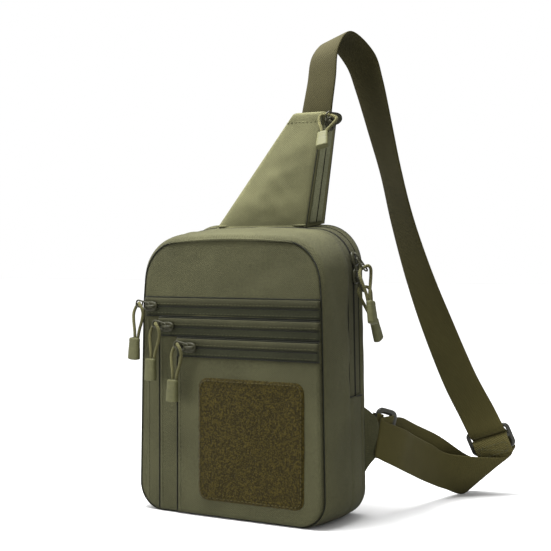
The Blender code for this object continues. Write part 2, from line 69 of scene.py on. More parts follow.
# Main compartment, as in the CAD
HALF_WIDTH_LOW = 87.5
HALF_WIDTH_HIGH = 84.0
FRONT_HEIGHT = 224.0
TOP_SLOPE = 1.0 / 6.0
TOP_CROWN = 2.0
TOP_RADIUS = 34.0
BOTTOM_RADIUS = 22.0
SIDE_BULGE = 4.0
FRONT_Y = -36.0
BACK_Y = 33.0
ZIP_FRONT_Y = 0.5
ZIP_MIDDLE_Y = 11.5
ZIP_BACK_Y = 22.5
ZIP_END_Z = 98.0
TOP_ROLL = 2.4                         # how far the top of the gusset rolls over the front
ROLL_START_Z = 165.0                   # where on the sides the roll begins
ROLL_REACH = 50.0                      # and how much higher it is full
FOOT_HEIGHT = 12.0                     # below this the cloth flattens on the floor
SEAM_PULL = 0.8                        # how far a seam draws the cloth in
SEAM_WIDTH = 1.4
SEAM_RADIUS = 0.55                     # the thread line in most seams
THIN_SEAM_RADIUS = 0.35
LOOP_POINTS = 300                      # points round the bag's outline
ARCH_POINTS = 170                      # points along the main zip

# Stepped front: each layer's left edge, top edge and face, then its zip band
LAYERS = ((-81.0, 160.5, -36.7), (-66.5, 144.5, -38.2), (-47.5, 128.5, -39.9))
ZIP_BANDS = ((-81.0, 175.5, 160.5, -37.9), (-66.0, 159.0, 144.5, -39.7),
             (-47.0, 143.0, 128.5, -41.5))
PATCH = (-26.0, 71.0, 14.0, 112.0)     # left, right, bottom and top
PATCH_RADIUS = 8.0
PATCH_FACE_Y = -41.1
BACK_FACE_Y = 33.1
PAD_FACE_Y = 39.0
PAD_INSET = 12.0
PAD_CHANNELS = (70.0, 118.0, 166.0)    # heights of the pad's sewn channels
INSERT_FACE_Y = 21.4

# Shoulder pouch corners: front left, front right, back right, back left
POUCH_TOP_Z = 325.5
POUCH_BASE = ((-44.0, 14.0), (42.6, 14.0), (49.0, 33.0), (-46.0, 33.0))
POUCH_TOP = ((28.0, 18.0), (56.0, 18.0), (61.0, 33.0), (30.0, 33.0))

WEBBING = 32.0
WEBBING_THICKNESS = 1.6
RING_CENTRE = Vector((93.3, 51.5, 64.0))
RING_OUT = Vector((0.45, 0.89, 0.0)).normalized()
RING_TILT = math.radians(16.0)
TRI_GLIDE_CENTRE = Vector((146.0, 160.5, 49.0))
STRAP_RUN = Vector((0.36, 0.28, -0.89)).normalized()
WING_ROOT = Vector((84.5, 34.0, 0.0))


# Materials

def scaled(colour, share):
    return tuple(channel * share for channel in colour)


def set_inputs(made, links, inputs):
    """Give a node's inputs their values, each a number or a socket to link from."""
    for key, value in inputs:
        if isinstance(value, bpy.types.NodeSocket):
            links.new(value, made.inputs[key])
        else:
            made.inputs[key].default_value = value


class Looks:
    """A new material, with the shader nodes that this bag's materials share."""

    def __init__(self, name):
        self.material = bpy.data.materials.new(name)
        self.material.use_nodes = True
        self.tree = self.material.node_tree
        self.place = self.node("ShaderNodeTexCoord").outputs["Object"]

    def node(self, kind, *inputs, **settings):
        made = self.tree.nodes.new(kind)
        for name, value in settings.items():
            setattr(made, name, value)
        set_inputs(made, self.tree.links, inputs)
        return made

    def maths(self, operation, *values):
        return self.node("ShaderNodeMath", *enumerate(values), operation=operation).outputs[0]

    def noise(self, scale, detail):
        return self.node("ShaderNodeTexNoise", ("Vector", self.place), ("Scale", scale),
                         ("Detail", detail)).outputs["Fac"]

    def ramp(self, factor, low, high, dark, light):
        ramp = self.node("ShaderNodeValToRGB", ("Fac", factor))
        for element, place, colour in zip(ramp.color_ramp.elements, (low, high), (dark, light)):
            element.position = place
            element.color = (*colour, 1.0)
        return ramp.outputs["Color"]

    def weave(self, thread, diagonal):
        """A woven surface's height from the UV map, which is in millimetres of cloth."""
        uv = self.node("ShaderNodeUVMap", uv_map="cloth")
        split = self.node("ShaderNodeSeparateXYZ", ("Vector", uv.outputs[0]))
        across, along = (self.maths("MULTIPLY", split.outputs[k], 2 * math.pi / thread)
                         for k in (0, 1))
        if diagonal:
            return self.maths("SINE", self.maths("ADD", across, along))
        return self.maths("MULTIPLY", self.maths("SINE", across), self.maths("SINE", along))

    def shaded_by_height(self, shade, amount):
        """A colour with painted shade: made lighter near the floor and darker near the top."""
        split = self.node("ShaderNodeSeparateXYZ", ("Vector", self.place))
        level = self.node("ShaderNodeMapRange", ("Value", split.outputs[2]), ("From Min", 0.1),
                          ("From Max", 0.32), ("To Min", 1 + amount), ("To Max", 1 - amount))
        return self.node("ShaderNodeVectorMath", (0, shade), ("Scale", level.outputs[0]),
                         operation="SCALE").outputs[0]

    def finish(self, shade, strength, distance, height, *inputs):
        """Set the colour, the bump and the shader's other inputs, and give the material."""
        bump = self.node("ShaderNodeBump", ("Strength", strength), ("Distance", distance),
                         ("Height", height))
        set_inputs(self.tree.nodes["Principled BSDF"], self.tree.links,
                   (("Base Color", shade), ("Normal", bump.outputs[0]), *inputs))
        return self.material


CLOTH_SPECULAR = 0.06


def fabric(name, colour, thread, bump=0.5, variation=0.3, diagonal=False, sheen=0.02, height_shade=0.0,
           grain=0.55):
    """Woven cloth: threads in the bump and colour, with broad and fine colour variation."""
    looks = Looks(name)
    weave = looks.weave(thread, diagonal)
    fine = looks.noise(900.0, 3.0)
    mixed = looks.maths("MULTIPLY_ADD", looks.noise(22.0, 4.0), 1 - grain,
                        looks.maths("MULTIPLY", fine, grain))
    shade = looks.ramp(looks.maths("MULTIPLY_ADD", weave, 0.1, mixed), 0.34, 0.66,
                       scaled(colour, 1 - variation), scaled(colour, 1 + variation))
    # painted shade: the colour darker towards the top and lighter near the floor
    if height_shade:
        shade = looks.shaded_by_height(shade, height_shade)
    return looks.finish(shade, bump, 0.0004, looks.maths("MULTIPLY_ADD", fine, grain, weave),
                        ("Roughness", 0.85), ("Sheen Weight", sheen),
                        ("Sheen Roughness", 0.5), ("Specular IOR Level", CLOTH_SPECULAR))


def moulded(name, colour, roughness, specular=0.3):
    """Moulded or painted surface with a fine grain and slightly uneven gloss."""
    looks = Looks(name)
    speck = looks.noise(400.0, 4.0)
    shade = looks.ramp(speck, 0.3, 0.7, scaled(colour, 0.85), scaled(colour, 1.12))
    gloss = looks.node("ShaderNodeMapRange", ("Value", speck), ("To Min", roughness - 0.08),
                       ("To Max", roughness + 0.08))
    return looks.finish(shade, 0.12, 0.0003, speck, ("Roughness", gloss.outputs[0]),
                        ("Specular IOR Level", specular))


def pile(name, colour):
    """Looped pile: painted shade in the small gaps between lighter loops, over random tone."""
    looks = Looks(name)
    loops = looks.node("ShaderNodeTexVoronoi", ("Vector", looks.place), ("Scale", 1000.0))
    # darker away from each loop's middle: painted shade in the gaps, plus random tone; the same
    # value is the bump's height
    depth = looks.maths("MULTIPLY_ADD", loops.outputs["Distance"], -0.5, looks.noise(620.0, 6.0))
    shade = looks.ramp(depth, 0.13, 0.52, scaled(colour, 0.45), scaled(colour, 1.6))
    return looks.finish(shade, 0.9, 0.0008, depth, ("Roughness", 0.95), ("Sheen Weight", 0.05),
                        ("Specular IOR Level", CLOTH_SPECULAR))


NYLON_COLOUR = (0.0393, 0.0385, 0.0192)
NYLON = fabric("nylon_cloth", NYLON_COLOUR, thread=1.6)
NYLON_INSIDE = fabric("nylon_lining", (0.05, 0.05, 0.03), thread=0.8)
# The zip hems are the bag's nylon with painted shade: a darker copy of its colour.
SHADED_HEM_CLOTH = fabric("zip_hem_cloth", scaled(NYLON_COLOUR, 0.57), thread=1.6)
# The pouch is the bag's nylon with painted light: a lighter copy of its colour for the light
# falling on it from above.
LIT_POUCH_NYLON = fabric("pouch_cloth_painted_light", scaled(NYLON_COLOUR, 1.65), thread=1.6, bump=0.25, grain=0.35,
                     variation=0.24)
# The pouch's zip strip has painted light: far lighter than the nylon, for the light it catches.
LIT_POUCH_ZIP_CLOTH = fabric("pouch_zip_cloth_painted_light", (0.1, 0.102, 0.06), thread=1.4, bump=0.4)
MAIN_ZIP_CLOTH = fabric("main_zip_cloth", scaled(NYLON_COLOUR, 0.9), thread=1.4, bump=0.6)
ZIP_CLOTH = fabric("zip_tape_cloth", (0.021, 0.022, 0.012), thread=1.4, bump=0.6, diagonal=True)
COIL_CLOTH = fabric("zip_coil", (0.008, 0.008, 0.005), thread=1.3, bump=1.0)
# The strap's colour has painted shade: darker towards the top, lighter near the floor.
STRAP_CLOTH = fabric("strap_twill", (0.028, 0.0245, 0.0078), thread=1.8, bump=0.3, diagonal=True,
                     variation=0.13, height_shade=0.36, grain=0.22)
STUB_CLOTH = fabric("strap_end_twill", (0.062, 0.054, 0.019), thread=2.1, bump=0.55,
                    diagonal=True)
# Near-black cloth for piping and seam lines: partly the cord's own colour, partly painted shadow of
# the seam grooves.
PIPING_AND_SHADOW_CLOTH = fabric("piping_cloth_painted_shadow", (0.006, 0.0065, 0.0035), thread=0.8, sheen=0.05)
MESH_CLOTH = fabric("spacer_mesh", (0.05, 0.052, 0.03), thread=2.6, bump=1.0)
CORD_CLOTH = fabric("braided_cord", (0.07, 0.066, 0.028), thread=1.5, bump=0.8, diagonal=True)
THREAD = fabric("sewing_thread", (0.05, 0.05, 0.026), thread=0.5)
PATCH_THREAD = fabric("patch_thread", (0.04, 0.034, 0.012), thread=0.5)
PATCH_PILE = pile("loop_pile_brown", (0.0255, 0.0195, 0.003))
TIP_RUBBER = moulded("moulded_tip", (0.052, 0.0515, 0.022), 0.65, specular=0.12)
BUCKLE = moulded("buckle_plastic", (0.018, 0.018, 0.012), 0.42)
PAINTED_METAL = moulded("painted_zip_metal", (0.019, 0.0185, 0.009), 0.5, specular=0.14)


def attach(thing, body=BAG):
    """Give a piece its body, or with no body bake its transform into its mesh."""
    if body:
        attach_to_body(thing, body)
    else:
        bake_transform(thing)
    return thing


# Mesh builders

def new_object(name, data):
    thing = bpy.data.objects.new(name, data)
    bpy.context.scene.collection.objects.link(thing)
    return thing


def build(name, points, faces, uvs, material):
    """A mesh object from points in millimetres, with its cloth UV map."""
    mesh = bpy.data.meshes.new(name)
    mesh.from_pydata([tuple(c * MM for c in point) for point in points], [], faces)
    layer = mesh.uv_layers.new(name="cloth")
    corners = np.zeros(len(mesh.loops), np.int32)
    mesh.loops.foreach_get("vertex_index", corners)
    layer.data.foreach_set("uv", np.array(uvs, np.float32)[corners].ravel())
    mesh.polygons.foreach_set("use_smooth", [True] * len(mesh.polygons))
    mesh.materials.append(material)
    return new_object(name, mesh)


def thicken(thing, thickness, offset=-1.0):
    """Give a sheet its thickness, applied so that its mesh is final."""
    shell = thing.modifiers.new("Thickness", "SOLIDIFY")
    shell.thickness = thickness * MM
    shell.offset = offset
    graph = bpy.context.evaluated_depsgraph_get()
    mesh = bpy.data.meshes.new_from_object(thing.evaluated_get(graph), depsgraph=graph)
    thing.modifiers.clear()
    thing.data = mesh
    return thing


def lattice(name, rows, u, v, material, keep=None):
    """A sheet through rows of points; u and v give the cloth distance to each column and row.

    keep says of a face's four corners whether the face is wanted.
    """
    width = len(rows[0])
    points = [point for row in rows for point in row]
    uvs = [(along, across) for across in v for along in u]
    faces = [(a, a + 1, a + width + 1, a + width)
             for low in range(0, (len(rows) - 1) * width, width)
             for a in range(low, low + width - 1)]
    if keep:
        faces = [face for face in faces if keep(*(points[corner] for corner in face))]
    return build(name, points, faces, uvs, material)


def arc(centre_x, centre_z, radius, start, end, steps):
    turns = [math.radians(start + (end - start) * step / steps) for step in range(steps + 1)]
    return [(centre_x + radius * math.cos(t), centre_z + radius * math.sin(t)) for t in turns]


def resample(points, count):
    """Count points evenly spaced along a line, ends included, and its length."""
    line = np.array(points, float)
    steps = np.linalg.norm(np.diff(line, axis=0), axis=1)
    reach = np.concatenate(([0.0], np.cumsum(steps)))
    wanted = np.linspace(0, reach[-1], count)
    even = np.stack([np.interp(wanted, reach, line[:, k]) for k in range(line.shape[1])], 1)
    return even, reach[-1]


def smooth_route(points, steps):
    """A Catmull-Rom curve through the points, with the given steps to each span."""
    points = [Vector(point) for point in points]
    route = []
    for i in range(len(points) - 1):
        before = points[max(i - 1, 0)]
        after = points[min(i + 2, len(points) - 1)]
        start, end = points[i], points[i + 1]
        for step in range(steps):
            t = step / steps
            route.append(0.5 * (2 * start + (end - before) * t
                                + (2 * before - 5 * start + 4 * end - after) * t ** 2
                                + (3 * start - before - 3 * end + after) * t ** 3))
    route.append(points[-1])
    return route


def tube(name, path, radius, material, sides=10, closed=False, flat=1.0, up=None):
    """A round cord along a path; flat scales it along up."""
    path = [Vector(point) for point in path]
    count = len(path)
    turns = [2 * math.pi * k / sides for k in range(sides + 1)]
    side, rows, along = None, [], [0.0]
    for i, point in enumerate(path):
        ahead = path[(i + 1) % count] if closed or i + 1 < count else point
        behind = path[i - 1] if closed or i > 0 else point
        tangent = (ahead - behind).normalized()
        if side is None:
            side = Vector(up or ((0, 0, 1) if abs(tangent.z) < 0.9 else (1, 0, 0)))
        side = (side - tangent * side.dot(tangent)).normalized()
        other = tangent.cross(side)
        if i > 0:
            along.append(along[-1] + (point - path[i - 1]).length)
        size = radius(i / (count - 1)) if callable(radius) else radius
        rows.append([point + side * math.cos(turn) * size * flat + other * math.sin(turn) * size
                     for turn in turns])
    if closed:
        rows.append(rows[0])
        along.append(along[-1] + (path[0] - path[-1]).length)
    girth = [turn * (1.0 if callable(radius) else radius) for turn in turns]
    thing = lattice(name, rows, girth, along, material)
    if not closed:
        for row in (0, len(rows) - 1):
            close_end(thing, row * (sides + 1), sides, True)
    return weld(thing)


def fan_faces(first, count, centre):
    """Faces between the ring of points that starts at first and its centre."""
    return [(first + k, first + (k + 1) % count, centre) for k in range(count)]


def close_end(thing, first, count, fan):
    """Close the ring of points that starts at first, with a fan or with one face."""
    material = thing.data.materials[0]
    rim = [thing.data.vertices[first + k].co.copy() for k in range(count)]
    faces = [tuple(range(count))]
    if fan:
        rim.append(sum(rim, Vector()) / count)
        faces = fan_faces(0, count, count)
    mesh = bpy.data.meshes.new("lid")
    mesh.from_pydata(rim, [], faces)
    mesh.materials.append(material)
    join([thing, new_object("lid", mesh)])


def weld(thing):
    """Merge the points that coincide, such as along a tube's seam."""
    work = bmesh.new()
    work.from_mesh(thing.data)
    bmesh.ops.remove_doubles(work, verts=work.verts, dist=0.02 * MM)
    bmesh.ops.recalc_face_normals(work, faces=work.faces)
    work.to_mesh(thing.data)
    work.free()
    return thing


def join(things):
    """Merge pieces into the first one."""
    with bpy.context.temp_override(active_object=things[0], selected_editable_objects=things,
                                   object=things[0], selected_objects=things):
        bpy.ops.object.join()
    return things[0]


def ring_faces(rings, count, start=0):
    """Faces between rings of points that follow each other from start."""
    return [(low + k, low + (k + 1) % count, low + count + (k + 1) % count, low + count + k)
            for low in range(start, start + (rings - 1) * count, count) for k in range(count)]


STITCH_GAP = 1.1
STITCH_SHAPE = ((0.0, 0.5, -0.2), (0.3, 1.0, 0.2), (0.7, 1.0, 0.2), (1.0, 0.5, -0.2))


def stitches(name, path, outward, material=THREAD, length=2.3, radius=0.24):
    """A row of stitches lying on a surface along a path."""
    line, total = resample([tuple(point) for point in path], len(path) * 4)
    count = int(total / (length + STITCH_GAP))
    spaced, _ = resample(line, count * 6 + 1)
    out = Vector(outward)
    points, faces, uvs = [], [], []
    for s in range(count):
        a, b = Vector(spaced[s * 6]), Vector(spaced[s * 6 + 4])
        side = (b - a).normalized().cross(out).normalized()
        start = len(points)
        for t, size, rise in STITCH_SHAPE:
            centre = a.lerp(b, t) + out * rise * radius
            for k in range(6):
                turn = math.pi * k / 3
                points.append(centre + (side * math.cos(turn) + out * math.sin(turn)) * radius
                              * size)
                uvs.append((k * 0.2, t))
        faces += ring_faces(4, 6, start)
        faces += [tuple(range(start, start + 6)), tuple(range(start + 18, start + 24))]
    return build(name, points, faces, uvs, material)


def loft(name, sections, material):
    """A closed solid through rings of points, with its two ends filled."""
    count = len(sections[0])
    points = [point for ring in sections for point in ring]
    faces = ring_faces(len(sections), count)
    last = (len(sections) - 1) * count
    for start in (0, last):
        points.append(sum((Vector(points[start + k]) for k in range(count)), Vector()) / count)
        faces += fan_faces(start, count, len(points) - 1)
    uvs = [(point[0] + point[1], point[2]) for point in points]
    return build(name, points, faces, uvs, material)


def superellipse(half_x, half_y, count, power):
    ring = []
    for k in range(count):
        turn = 2 * math.pi * k / count
        c, s = math.cos(turn), math.sin(turn)
        ring.append((half_x * math.copysign(abs(c) ** (2 / power), c),
                     half_y * math.copysign(abs(s) ** (2 / power), s)))
    return ring


def place_ring(ring, origin, x_axis, y_axis):
    return [origin + x_axis * x + y_axis * y for x, y in ring]


def piping(name, path, radius, body=BAG, sides=6, closed=False):
    """A near-black tube along a seam, for piping and thread lines and for painted shadow lines; its
    darkness is partly painted shadow.
    """
    return attach(tube(name, path, radius, PIPING_AND_SHADOW_CLOTH, sides, closed), body)


# The bag's outline at a given depth

def height_at(y):
    return FRONT_HEIGHT + (y - FRONT_Y) * TOP_SLOPE


def bulge_at(y):
    middle = (FRONT_Y + BACK_Y) / 2
    return SIDE_BULGE * (1 - ((y - middle) / (BACK_Y - middle)) ** 2)


def side_x(z, y):
    share = (z - BOTTOM_RADIUS) / (FRONT_HEIGHT - TOP_RADIUS - BOTTOM_RADIUS)
    share = min(max(share, 0.0), 1.0)
    return HALF_WIDTH_LOW + (HALF_WIDTH_HIGH - HALF_WIDTH_LOW) * share + bulge_at(y)


def half_outline(y, inset):
    """From the middle of the base up the right side to the middle of the top."""
    low_x = side_x(BOTTOM_RADIUS, y) - BOTTOM_RADIUS
    top = height_at(y)
    corner_z = top - TOP_RADIUS
    high_x = side_x(corner_z, y) - TOP_RADIUS
    half = [(0.0, inset)]
    half += arc(low_x, BOTTOM_RADIUS, BOTTOM_RADIUS - inset, -90, 0, 14)
    half += arc(high_x, corner_z, TOP_RADIUS - inset, 0, 90, 18)
    for share in (0.8, 0.6, 0.4, 0.2, 0.0):
        half.append((high_x * share, top - inset + TOP_CROWN * (1 - share ** 2)))
    return half


def outline(y, inset, count=LOOP_POINTS):
    """Points evenly spaced round the whole outline from the middle of the base, and its length."""
    half = half_outline(y, inset)
    whole = half + [(-x, z) for x, z in reversed(half[:-1])]
    return resample(whole, count + 1)


def arch_part(y, inset, count):
    """The part of the outline above the zip's end, from the left side over the top."""
    whole, _ = outline(y, inset, 900)
    low = [point for point in whole if point[1] >= ZIP_END_Z]
    right = [tuple(p) for p in low if p[0] >= 0]
    left = [tuple(p) for p in low if p[0] < 0]
    line = [(side_x(ZIP_END_Z, y) - inset, ZIP_END_Z)] + right + left
    line.append((-side_x(ZIP_END_Z, y) + inset, ZIP_END_Z))
    return resample(line, count)


def normals_2d(line):
    """Outward directions along an outline that runs anticlockwise."""
    line = np.array(line, float)
    ahead = np.roll(line, -1, 0)
    behind = np.roll(line, 1, 0)
    if np.linalg.norm(line[0] - line[-1]) < 1e-6:
        ahead[-1], behind[0] = line[1], line[-2]
    else:
        ahead[-1], behind[0] = line[-1], line[0]
    run = ahead - behind
    run /= np.linalg.norm(run, axis=1)[:, None]
    return np.stack([run[:, 1], -run[:, 0]], 1)


def rolled(line, amount):
    """Draw the top of an outline inwards, where the fabric rolls over the front edge."""
    share = np.clip((line[:, 1] - ROLL_START_Z) / ROLL_REACH, 0.0, 1.0)
    share = share ** 2 * (3 - 2 * share)
    return line - normals_2d(line) * (amount * share)[:, None]


def ripple(place, scale, amount, seed=0.0):
    """Soft unevenness of cloth at a place in millimetres."""
    spot = Vector(place) * scale + Vector((seed, seed * 0.7, -seed))
    return amount * (noise.noise(spot) + 0.45 * noise.noise(spot * 2.3))


# Gussets, zips and piping

def wrap(name, depths, seams, crown, seed, roll=False, keep=None):
    """Cloth that follows the outline from depth to depth, pulled in along its seams."""
    rows = []
    first, last = depths[0], depths[-1]
    for y in depths:
        line, lengths = outline(y, 0.0)
        line = rolled(line, TOP_ROLL * max(0.0, 1 - (y - first) / 5.0) ** 2 if roll else 0.0)
        out = normals_2d(line)
        share = (y - first) / (last - first)
        row = []
        for (x, z), (nx, nz) in zip(line, out):
            puff = crown * math.sin(math.pi * share)
            pull = sum(SEAM_PULL * math.exp(-((y - seam) / SEAM_WIDTH) ** 2) for seam in seams)
            calm = min(1.0, z / FOOT_HEIGHT)
            wave = ripple((x, y * 1.6, z), 0.028, 1.3, seed) * math.sin(math.pi * share) * calm
            move = puff * calm - pull * calm + wave
            row.append((x + nx * move, y, max(z + nz * move, 0.15)))
        rows.append(row)
    thing = lattice(name, rows, np.linspace(0, lengths, LOOP_POINTS + 1), depths, NYLON, keep)
    return thicken(thing, 1.7, 1.0)


def make_gussets():
    rear_rows = list(np.linspace(ZIP_FRONT_Y - 0.3, ZIP_BACK_Y - 0.2, 10))
    depths = list(np.linspace(-35.2, -30.2, 8)) + list(np.linspace(-28.5, ZIP_FRONT_Y - 0.3, 15))
    depths += rear_rows[1:]

    def below_zip(*corners):
        return all(y <= ZIP_FRONT_Y for _, y, _ in corners) or max(
            corner[2] for corner in corners) <= ZIP_END_Z + 2.0

    gusset = wrap("gusset_cloth", depths, (-35.2, ZIP_FRONT_Y + 0.2), 0.9, 3.0, roll=True,
                  keep=below_zip)
    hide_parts("front_gusset", "lower_gusset")
    attach(gusset, ACROSS_FOLD)
    rear = wrap("rear_gusset_cloth", list(np.linspace(ZIP_BACK_Y, 32.2, 9)),
                (ZIP_BACK_Y, 32.6), 0.5, 8.0)
    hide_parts("rear_gusset")
    attach(rear)


# Distance from the tape's seam and height; the coil starts at its edge
COIL_EDGE = 9.4
TAPE_PROFILE = ((0.0, -0.45), (0.7, -0.2), (2.0, -0.1), (7.6, -0.15), (9.0, -0.25),
                (COIL_EDGE, -0.1), (10.2, 0.1), (10.7, -0.4), (10.9, -0.9))


def main_tape(name, edge_y, towards):
    """Half of the main zip: a woven tape from its seam to the coil along the middle."""
    rows = []
    depths = []
    for across, rise in TAPE_PROFILE:
        y = edge_y + across * towards
        line, length = arch_part(y, 0.6, ARCH_POINTS)
        out = normals_2d(line)
        rows.append([(x + nx * rise, y, z + nz * rise) for (x, z), (nx, nz) in zip(line, out)])
        depths.append(across)
    if towards < 0:
        rows.reverse()
        depths.reverse()
    thing = lattice(name, rows, np.linspace(0, length, ARCH_POINTS), depths, MAIN_ZIP_CLOTH)
    thing.data.materials.append(COIL_CLOTH)
    for k in range(len(depths) - 1):
        if min(depths[k], depths[k + 1]) >= COIL_EDGE:
            for i in range(ARCH_POINTS - 1):
                thing.data.polygons[k * (ARCH_POINTS - 1) + i].material_index = 1
    return thicken(thing, 1.0, 1.0)


def make_main_zip():
    front = main_tape("main_zip_front_half", ZIP_FRONT_Y, 1)
    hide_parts("main_tape_front")
    attach(front, ACROSS_FOLD)
    rear = main_tape("main_zip_rear_half", ZIP_BACK_Y, -1)
    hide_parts("main_tape_rear")
    attach(rear)
    for side in (-1, 1):
        x = side * (side_x(ZIP_END_Z, ZIP_MIDDLE_Y) - 0.1)
        path = [(x, y, ZIP_END_Z + 0.3) for y in np.linspace(ZIP_FRONT_Y, ZIP_BACK_Y, 14)]
        piping("zip_end_seam_%s" % ("left" if side < 0 else "right"), path, SEAM_RADIUS, sides=8)


def loop_path(y, inset, roll=0.0):
    line = rolled(outline(y, inset, 260)[0], roll)
    return [(x, y, z) for x, z in line[:-1]]


def make_main_coil():
    """The dark line of the closed coil, ridden by the rear half of the zip."""
    line, _ = arch_part(ZIP_MIDDLE_Y, 0.95, ARCH_POINTS)
    path = [(x, ZIP_MIDDLE_Y + 0.3, z) for x, z in line]
    attach(tube("main_zip_coil", path, SEAM_RADIUS, COIL_CLOTH, sides=8))


def make_top_welt(path):
    """The rolled edge that fills the front seam along the top and thins out at the corners."""
    lowest = max(point[2] for point in path) - 4.0
    top = sorted((point for point in path if point[2] > lowest), key=lambda point: point[0])
    welt = tube("front_top_welt", [(x, y - 0.5, z - 0.3) for x, y, z in top],
                lambda t: 0.2 + 0.95 * math.sin(math.pi * t) ** 0.5, NYLON)
    attach(welt, ACROSS_FOLD)


def make_piping():
    path = loop_path(-35.6, 0.75, TOP_ROLL)
    front = piping("front_piping", path, 0.4, ACROSS_FOLD, 8, closed=True)
    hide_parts("upper_piping", "lower_piping")
    make_top_welt(path)
    rear = piping("rear_piping_cord", loop_path(32.3, 0.8), 0.6, BAG, 8, closed=True)
    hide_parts("rear_piping")
    for name, y, body in (("front_zip_seam", ZIP_FRONT_Y + 0.1, ACROSS_FOLD),
                          ("rear_zip_seam", ZIP_BACK_Y - 0.1, BAG)):
        line, _ = arch_part(y, 0.75, ARCH_POINTS)
        piping(name, [(x, y, z) for x, z in line], THIN_SEAM_RADIUS, body)


# Front panels

# How far in from a panel's edge its turned edge, its crown and its flat border reach
ROLL_WIDTH = 1.3
CROWN_WIDTH = 14.0
CALM_WIDTH = 5.0


def cloth_panel(name, edge, face_y, material, facing=-1.0, crown=1.0, wave=0.5, roll=1.0,
                thickness=1.6, seed=0.0, rings=34, shape=None):
    """A soft panel filling an outline of (x, z) points.

    face_y is its face at the middle, crown how far the middle stands proud of the edges,
    roll how far the edge turns back, and shape an extra height at (x, z).
    """
    edge = np.array(edge, float)
    centre = (edge.max(0) + edge.min(0)) / 2
    reach = np.linalg.norm(edge - centre, axis=1)
    count = len(edge)
    points, uvs = [], []
    for ring in range(rings):
        share = 1 - (ring / rings) ** 1.25
        for q, far in zip(edge, reach):
            x, z = centre + (q - centre) * share
            inward = (1 - share) * far
            height = -roll * math.exp(-(inward / ROLL_WIDTH) ** 2)
            height -= crown * math.exp(-inward / CROWN_WIDTH)
            calm = 1 - math.exp(-inward / CALM_WIDTH)
            height += ripple((x, 0.0, z), 0.03, wave, seed) * calm
            if shape is not None:
                height += shape(x, z)
            points.append((x, face_y + facing * height, z))
            uvs.append((x, z))
    points.append((centre[0], face_y + facing * (shape(*centre) if shape else 0.0), centre[1]))
    uvs.append(tuple(centre))
    faces = ring_faces(rings, count) + fan_faces((rings - 1) * count, count, len(points) - 1)
    if facing > 0:
        faces = [tuple(reversed(face)) for face in faces]
    return thicken(build(name, points, faces, uvs, material), thickness)


def trimmed_outline(y, inset, left=-math.inf, top=math.inf):
    """The bag's outline cut off straight at a left edge and a top edge."""
    line, _ = outline(y, inset, 1200)
    cut = []
    for x, z in line[:-1]:
        x, z = max(x, left), min(z, top)
        if not cut or abs(cut[-1][0] - x) + abs(cut[-1][1] - z) > 1e-6:
            cut.append((x, z))
    cut.append(cut[0])
    return resample(cut, 241)[0][:-1]


def make_front():
    edge = rolled(trimmed_outline(FRONT_Y, 1.3), TOP_ROLL)
    base = cloth_panel("front_cloth", edge, FRONT_Y - 0.4, NYLON, crown=0.9, wave=0.9, roll=0.6,
                       seed=11.0)
    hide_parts("front_panel")
    attach(base, ACROSS_FOLD)
    for number, (left, top, face_y) in enumerate(LAYERS, start=1):
        edge = trimmed_outline(FRONT_Y, 1.6, left, top)
        layer = cloth_panel("pocket_layer_%d" % number, edge, face_y, NYLON, crown=0.3,
                            wave=0.55, seed=number * 5.0, thickness=1.2)
        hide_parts("pocket_panel_%d" % number)
        attach(layer, ACROSS_FOLD)
        # a dark line at each lower layer's left edge: partly the seam, partly painted shadow at the
        # layer's step
        if number > 1:
            path = [(left - 0.2, face_y + 0.9, z) for z in np.linspace(3.0, top, 80)]
            piping("layer_seam_%d" % number, path, SEAM_RADIUS, ACROSS_FOLD)
        path = [(left + 3.4, face_y - 0.05, z) for z in np.linspace(8.0, top - 2, 60)]
        attach(stitches("layer_stitching_%d" % number, path, FORWARD), ACROSS_FOLD)


# Distance down from a zip band's top and depth behind its face
HEM_PROFILE = ((0.0, 2.4), (0.35, 0.7), (1.2, 0.1), (3.2, 0.0), (5.2, 0.15), (6.1, 0.6),
               (6.4, 1.3))
POCKET_TAPE_PROFILE = ((6.2, 1.2), (6.7, 0.7), (7.5, 0.55), (8.3, 0.75), (8.8, 1.1),
                       (10.5, 1.0), (13.2, 1.25), (14.2, 1.7), (14.6, 2.9))


def straight_strip(name, left, right, top, face_y, profile, material):
    """A strip along X with the given profile of distances down and depths behind its face."""
    xs = np.linspace(left, right, 60)
    rows = []
    for down, behind in reversed(profile):
        rows.append([(x, face_y + behind + ripple((x, 0, down * 2), 0.05, 0.25, top), top - down)
                     for x in xs])
    return thicken(lattice(name, rows, xs, [down for down, _ in reversed(profile)], material), 0.9)


